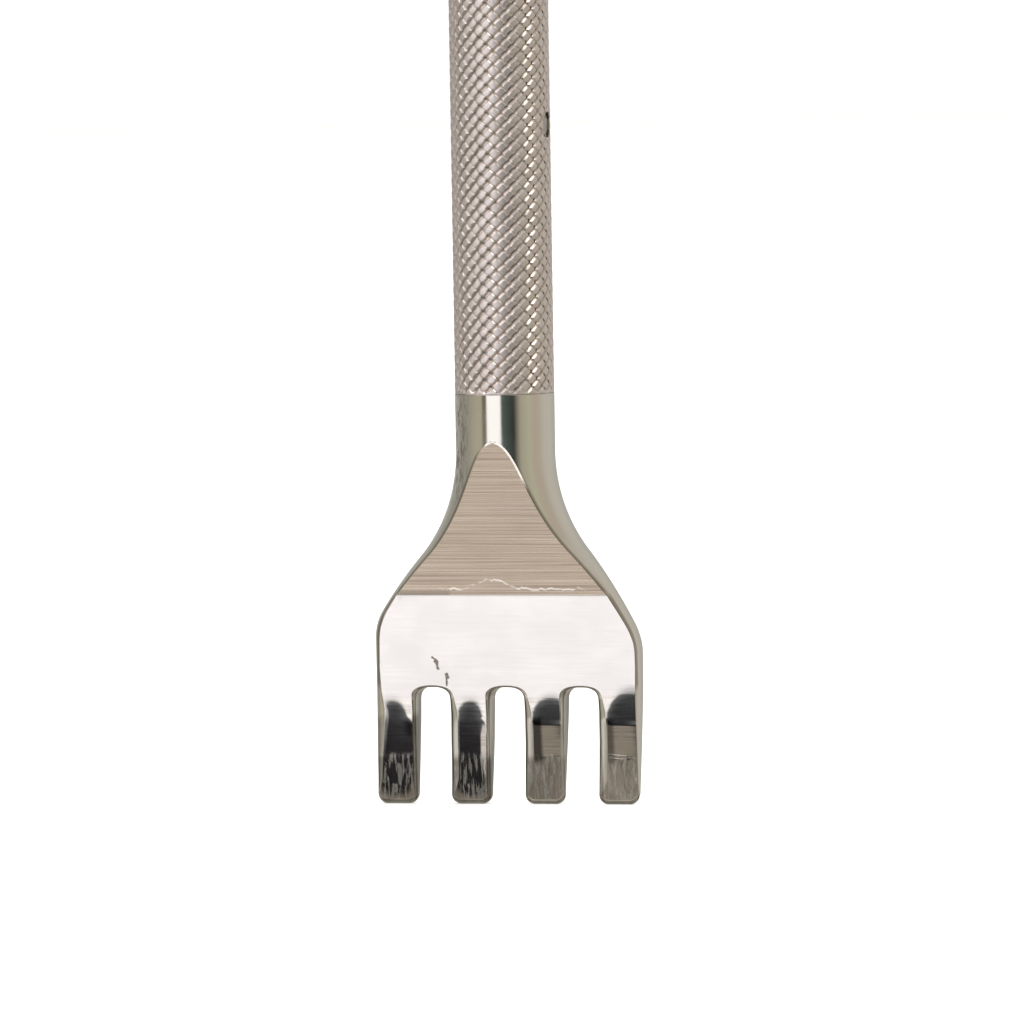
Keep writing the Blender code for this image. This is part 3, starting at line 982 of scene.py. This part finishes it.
def knurled_nickel(place):
    """Satin nickel over knurl: bright flat crests, and darker grooves that hold some oil, with painted
    shade and highlight by depth.
    """
    x, y, _ = split(place)
    radius = maths("SQRT", x * x + y * y)
    cloud = grain(place, (0.4, 0.4, 0.4), 4.0)
    rough = grain(place, (5.0, 5.0, 5.0), 4.0, 0.6)
    # lighter tops and darker grooves by depth: oil in the grooves, with painted shade in them and a
    # painted highlight on the tops
    crest = between(radius, SHANK_RADIUS - 0.11, SHANK_RADIUS - 0.03)
    groove = blend(spread(cloud, 0.25), (0.43, 0.35, 0.29), (0.57, 0.49, 0.42))
    worn = spread(grain(place, (1.1, 1.1, 1.1), 2.0), 0.2)
    top = blend(worn, (0.82, 0.755, 0.74), (0.95, 0.895, 0.90))
    colour = blend(crest, groove, top)
    colour = blend(spread(rough, 0.35), colour, (0.80, 0.74, 0.72))
    # painted shade: near black where the grooves cross, at their deepest
    painted_pit_shade = between(radius, SHANK_RADIUS - 0.126, SHANK_RADIUS - 0.138, 0.0, 0.95)
    colour = blend(painted_pit_shade, colour, (0.09, 0.07, 0.055))
    roughness = between(radius, SHANK_RADIUS - 0.05, SHANK_RADIUS - 0.01, 0.22, 0.40)
    return colour, roughness, rough, 0.008


def turned_nickel(place):
    """Nickel over the turned end of the handle: fine rings from the lathe, and rubbed places."""
    cloud = grain(place, (0.3, 0.3, 0.3), 4.0)
    rings = grain(place, (0.05, 0.05, 8.0), 3.0, 0.6)
    colour = blend(spread(cloud, 0.25), (0.78, 0.74, 0.69), (0.84, 0.80, 0.75))
    colour = blend(spread(rings, 0.35), colour, (0.77, 0.73, 0.67))
    return colour, between(cloud, 0.35, 0.65, 0.14, 0.21), rings, 0.0015


def struck_face(place):
    """Striking face: plate dulled by the mallet, with small dents."""
    cloud = grain(place, (0.5, 0.5, 0.5), 4.0)
    dents = grain(place, (1.3, 1.3, 1.3), 3.0, 0.5)
    marks = grain(place, (7.0, 7.0, 7.0), 4.0, 0.6)
    colour = blend(spread(cloud, 0.25), (0.60, 0.57, 0.53), (0.76, 0.73, 0.69))
    return colour, between(marks, 0.3, 0.7, 0.26, 0.42), dents + marks * 0.2, 0.05


def pin_steel(place):
    """Bare hardened steel of the pin: grey, with drawing marks along it."""
    drawn = grain(place, (0.5, 7.0, 7.0), 4.0, 0.6)
    cloud = grain(place, (0.9, 0.9, 0.9), 4.0)
    colour = blend(spread(cloud, 0.25), (0.50, 0.49, 0.47), (0.60, 0.585, 0.56))
    colour = blend(spread(drawn, 0.3), colour, (0.54, 0.53, 0.51))
    return colour, between(drawn, 0.3, 0.7, 0.26, 0.40), drawn, 0.004


# ---- put the object together ----

def paint(piece, materials, kinds=None):
    piece.data.materials.clear()
    for material in materials:
        piece.data.materials.append(material)
    if kinds is not None:
        piece.data.polygons.foreach_set("material_index", np.array(kinds, np.int32))


def settle(piece, node):
    """The piece rides on the body and stands for the CAD node, which is hidden."""
    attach(piece, "root")
    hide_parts(node)


def build_object():
    nickel, plain = metal(bright_nickel), metal(turned_nickel)
    shell = build_head()
    head = make_mesh_object("plated_head", set_askew(shell.points), shell.faces, shell.normals)
    paint(head, [nickel, metal(milled_ramp), metal(flat_face), metal(ground_tine)], shell.kinds)
    points, faces, kinds = build_handle()
    handle = make_mesh_object("knurled_grip", points, faces)
    kinds = [PLAIN if kind == BORE else kind for kind in kinds]
    paint(handle, [metal(knurled_nickel), plain, metal(struck_face)], kinds)
    handle.data.set_sharp_from_angle(angle=math.radians(17.0))
    tang = turned("head_tang", rounded_ends(TANG_RADIUS, SEAM_Z, TANG_TOP_Z, 0.4), 96)
    paint(tang, [plain])
    drill([handle, tang], PIN_Z, PIN_HOLE_RADIUS, DRILL_REACH)
    half = (PIN_HIGH.x - PIN_LOW.x) / 2.0
    pin = turned("cross_pin", rounded_ends(PIN_RADIUS, -half, half, 0.2), 64)
    lay_along_x(pin, PIN_Z)
    paint(pin, [metal(pin_steel)])
    settle(head, "tined_head")
    settle(tang, "tined_head")
    settle(handle, "knurled_handle")
    settle(pin, "retaining_pin")


# ---- studio ----

VIEW_AZIMUTH = 15.4
VIEW_ELEVATION = 3.3
VIEW_ROLL = 0.93
VIEW_DISTANCE = 1.0
VIEW_WIDTH = 0.08225               # width of the field at the object
VIEW_HEIGHT_Z = 0.0235
VIEW_ASIDE = 0.00043
FLOOR_RADIUS = 2.1
DOME_RADIUS = 2.2


def by_angle(value, *stops):
    """Colour from stops of (degrees, colour), with value in degrees from -180 to 180."""
    made = add(value.tree, "ValToRGB", {0: value / 360.0 + 0.5})
    elements = made.color_ramp.elements
    while len(elements) > 1:
        elements.remove(elements[-1])
    for i, (degrees, colour) in enumerate(stops):
        element = elements[0] if i == 0 else elements.new(degrees / 360.0 + 0.5)
        element.position = degrees / 360.0 + 0.5
        element.color = (*colour, 1.0)
    return Value(value.tree, made.outputs[0])


WHITE = (1.26, 1.23, 1.25)
UPPER_WHITE = (2.3, 2.14, 2.18)
GREY_WALL = (0.47, 0.46, 0.43)
LEFT_DIM = (0.335, 0.32, 0.28)
LEFT_CARD = (0.44, 0.41, 0.315)
SEAM_SHADE = (0.17, 0.155, 0.11)
GREEN_BLACK = (0.095, 0.125, 0.115)
BLACK = (0.030, 0.038, 0.034)
RIGHT_NEAR = (0.42, 0.39, 0.31)
RIGHT_CARD = (0.50, 0.49, 0.375)
RIGHT_PINK = (0.50, 0.435, 0.36)
RIGHT_FAR = (0.565, 0.535, 0.485)
CEILING = (0.54, 0.51, 0.46)
KEY_LIGHT = (2.6, 2.5, 2.35)
TINE_GREY = (0.115, 0.124, 0.132)
TINE_BLACK = (0.012, 0.010, 0.014)
BROWN = (0.31, 0.275, 0.235)
WARM = (0.90, 0.785, 0.68)
FLOOR_GREY = (0.30, 0.29, 0.26)
LOW_SIDE = (0.42, 0.39, 0.34)
LOW_LEFT = (0.6, 0.58, 0.55)
LOW_WHITE = (0.76, 0.72, 0.70)
RIGHT_GLINT = (0.95, 0.84, 0.78)


def build_world():
    """Light cards round the object, as colours by direction: azimuth 0 lies in front, at -Y."""
    world = bpy.data.worlds.new("studio")
    bpy.context.scene.world = world
    world.use_nodes = True
    tree = world.node_tree
    tree.nodes.clear()
    direction = take(tree, "TexCoord", output="Generated")
    x, y, z = split(direction)
    azimuth = maths("DEGREES", maths("ARCTAN2", x, y * -1.0))
    elevation = maths("DEGREES", maths("ARCSINE", z))
    floor_stops = (
        (-180.0, FLOOR_GREY), (-30.5, FLOOR_GREY), (-29.5, WARM), (-21.4, WARM),
    )
    level = by_angle(
        azimuth,
        (-180.0, GREY_WALL), (-140.0, GREY_WALL), (-110.0, LEFT_DIM), (-85.0, LEFT_DIM),
        (-55.0, LEFT_CARD), (-41.0, LEFT_CARD), (-37.5, SEAM_SHADE), (-29.8, SEAM_SHADE),
        (-27.0, WHITE), (3.8, WHITE), (7.0, GREEN_BLACK), (35.5, BLACK),
        (41.0, (0.16, 0.155, 0.13)), (51.0, RIGHT_NEAR), (73.0, RIGHT_CARD), (83.0, RIGHT_PINK),
        (98.0, RIGHT_PINK), (118.0, RIGHT_FAR), (142.0, RIGHT_FAR), (165.0, GREY_WALL),
    )
    dark = by_angle(
        elevation, *floor_stops,
        (-20.6, BROWN), (-15.9, BROWN), (-15.4, TINE_BLACK), (-13.4, TINE_BLACK),
        (-12.7, (0.027, 0.025, 0.029)), (-12.1, (0.072, 0.074, 0.080)), (-11.75, TINE_GREY),
    )
    left = by_angle(
        elevation, *floor_stops,
        (-20.6, LOW_SIDE), (-16.5, LOW_SIDE), (-15.5, LOW_WHITE),
    )
    low = by_angle(
        azimuth,
        (-180.0, LOW_SIDE), (-110.0, LOW_SIDE), (-95.0, LOW_LEFT), (-45.0, LOW_LEFT), (17.0, LOW_SIDE),
    )
    under = blend(between(azimuth, -26.5, -24.5), left, dark)
    in_front = between(azimuth, -75.0, -65.0) * between(azimuth, 18.0, 16.0)
    under = blend(in_front, low, under)
    upper_left = between(azimuth, -66.0, -56.0) * between(azimuth, -24.0, -27.0)
    level = blend(upper_left * between(elevation, 4.5, 8.5), level, UPPER_WHITE)
    colour = blend(between(elevation, -9.6, -10.4), level, under)
    glint = between(azimuth, 22.0, 29.0) * between(azimuth, 52.0, 45.0)
    glint = glint * between(elevation, -12.8, -12.0) * between(elevation, -9.2, -10.0)
    colour = blend(glint, colour, RIGHT_GLINT)
    colour = blend(between(elevation, 26.0, 45.0), colour, CEILING)
    for turn, rise, inner, outer, light in (
        (41.0, 37.0, 10.0, 14.0, KEY_LIGHT), (100.0, -40.0, 12.0, 18.0, TINE_BLACK),
    ):
        turn, rise = math.radians(turn), math.radians(rise)
        middle = (math.sin(turn) * math.cos(rise), -math.cos(turn) * math.cos(rise), math.sin(rise))
        facing = on_vectors("DOT_PRODUCT", direction, middle, "Value")
        edge = (math.cos(math.radians(outer)), math.cos(math.radians(inner)))
        colour = blend(between(facing, *edge), colour, light)
    add(tree, "OutputWorld", {0: take(tree, "Background", {"Color": colour, "Strength": 1.0})})


def stage_material(name, colour, glow):
    """Plain pale paper, or a glowing backdrop of nearly the same tone all over."""
    material = bpy.data.materials.new(name)
    material.use_nodes = True
    tree = material.node_tree
    tree.nodes.clear()
    place = take(tree, "TexCoord", output="Object")
    cloud = take(tree, "TexNoise", {"Vector": place, "Scale": 40.0, "Detail": 3.0})
    tone = blend(cloud, colour, tuple(c * 0.985 for c in colour))
    if glow:
        shader = take(tree, "Emission", {"Color": tone, "Strength": glow})
    else:
        inputs = {"Base Color": tone, "Roughness": 0.9, "Emission Color": tone}
        shader = take(tree, "BsdfPrincipled", {**inputs, "Emission Strength": 0.16})
    add(tree, "OutputMaterial", {0: shader})
    return material


def stage_piece(name, shape, material):
    mesh = bpy.data.meshes.new(name)
    shape.to_mesh(mesh)
    shape.free()
    mesh.materials.append(material)
    piece = bpy.data.objects.new(name, mesh)
    bpy.context.scene.collection.objects.link(piece)
    return piece


def build_stage():
    """Pale floor that reflections don't see, and a white dome that only the camera sees."""
    shape = bmesh.new()
    bmesh.ops.create_circle(shape, cap_ends=True, segments=96, radius=FLOOR_RADIUS)
    floor = stage_piece("floor", shape, stage_material("pale_paper", (0.93, 0.93, 0.925), 0.0))
    floor.visible_glossy = False
    shape = bmesh.new()
    bmesh.ops.create_uvsphere(shape, u_segments=64, v_segments=32, radius=DOME_RADIUS)
    dome = stage_piece("backdrop", shape, stage_material("white_backdrop", (1.0, 1.0, 1.0), 1.05))
    for ray in ("diffuse", "glossy", "transmission", "volume_scatter", "shadow"):
        setattr(dome, "visible_" + ray, False)
    light_data = bpy.data.lights.new("ceiling", "AREA")
    light_data.shape = "DISK"
    light_data.size = 3.0
    light_data.energy = 60.0
    light = bpy.data.objects.new("ceiling", light_data)
    light.location = (0.0, 0.0, 1.9)
    light.visible_glossy = False
    light.visible_camera = False
    bpy.context.scene.collection.objects.link(light)


def build_camera():
    """Camera at eye level, turned to the tool's right-hand side and rolled a little."""
    data = bpy.data.cameras.new("camera")
    data.sensor_width = 36.0
    data.lens = 36.0 * VIEW_DISTANCE / VIEW_WIDTH
    data.clip_start = 0.01
    data.clip_end = 20.0
    camera = bpy.data.objects.new("camera", data)
    a, e = math.radians(VIEW_AZIMUTH), math.radians(VIEW_ELEVATION)
    back = Vector((math.sin(a) * math.cos(e), -math.cos(a) * math.cos(e), math.sin(e)))
    right = Vector((math.cos(a), math.sin(a), 0.0))
    target = Vector((0.0, 0.0, VIEW_HEIGHT_Z)) + right * VIEW_ASIDE
    facing = back.to_track_quat("Z", "Y")
    camera.rotation_euler = facing.to_euler()
    camera.rotation_euler.rotate_axis("Z", math.radians(-VIEW_ROLL))
    camera.location = target + back * VIEW_DISTANCE
    bpy.context.scene.collection.objects.link(camera)
    bpy.context.scene.camera = camera


build_object()
build_world()
build_stage()
build_camera()
bpy.context.scene.view_settings.view_transform = "Standard"
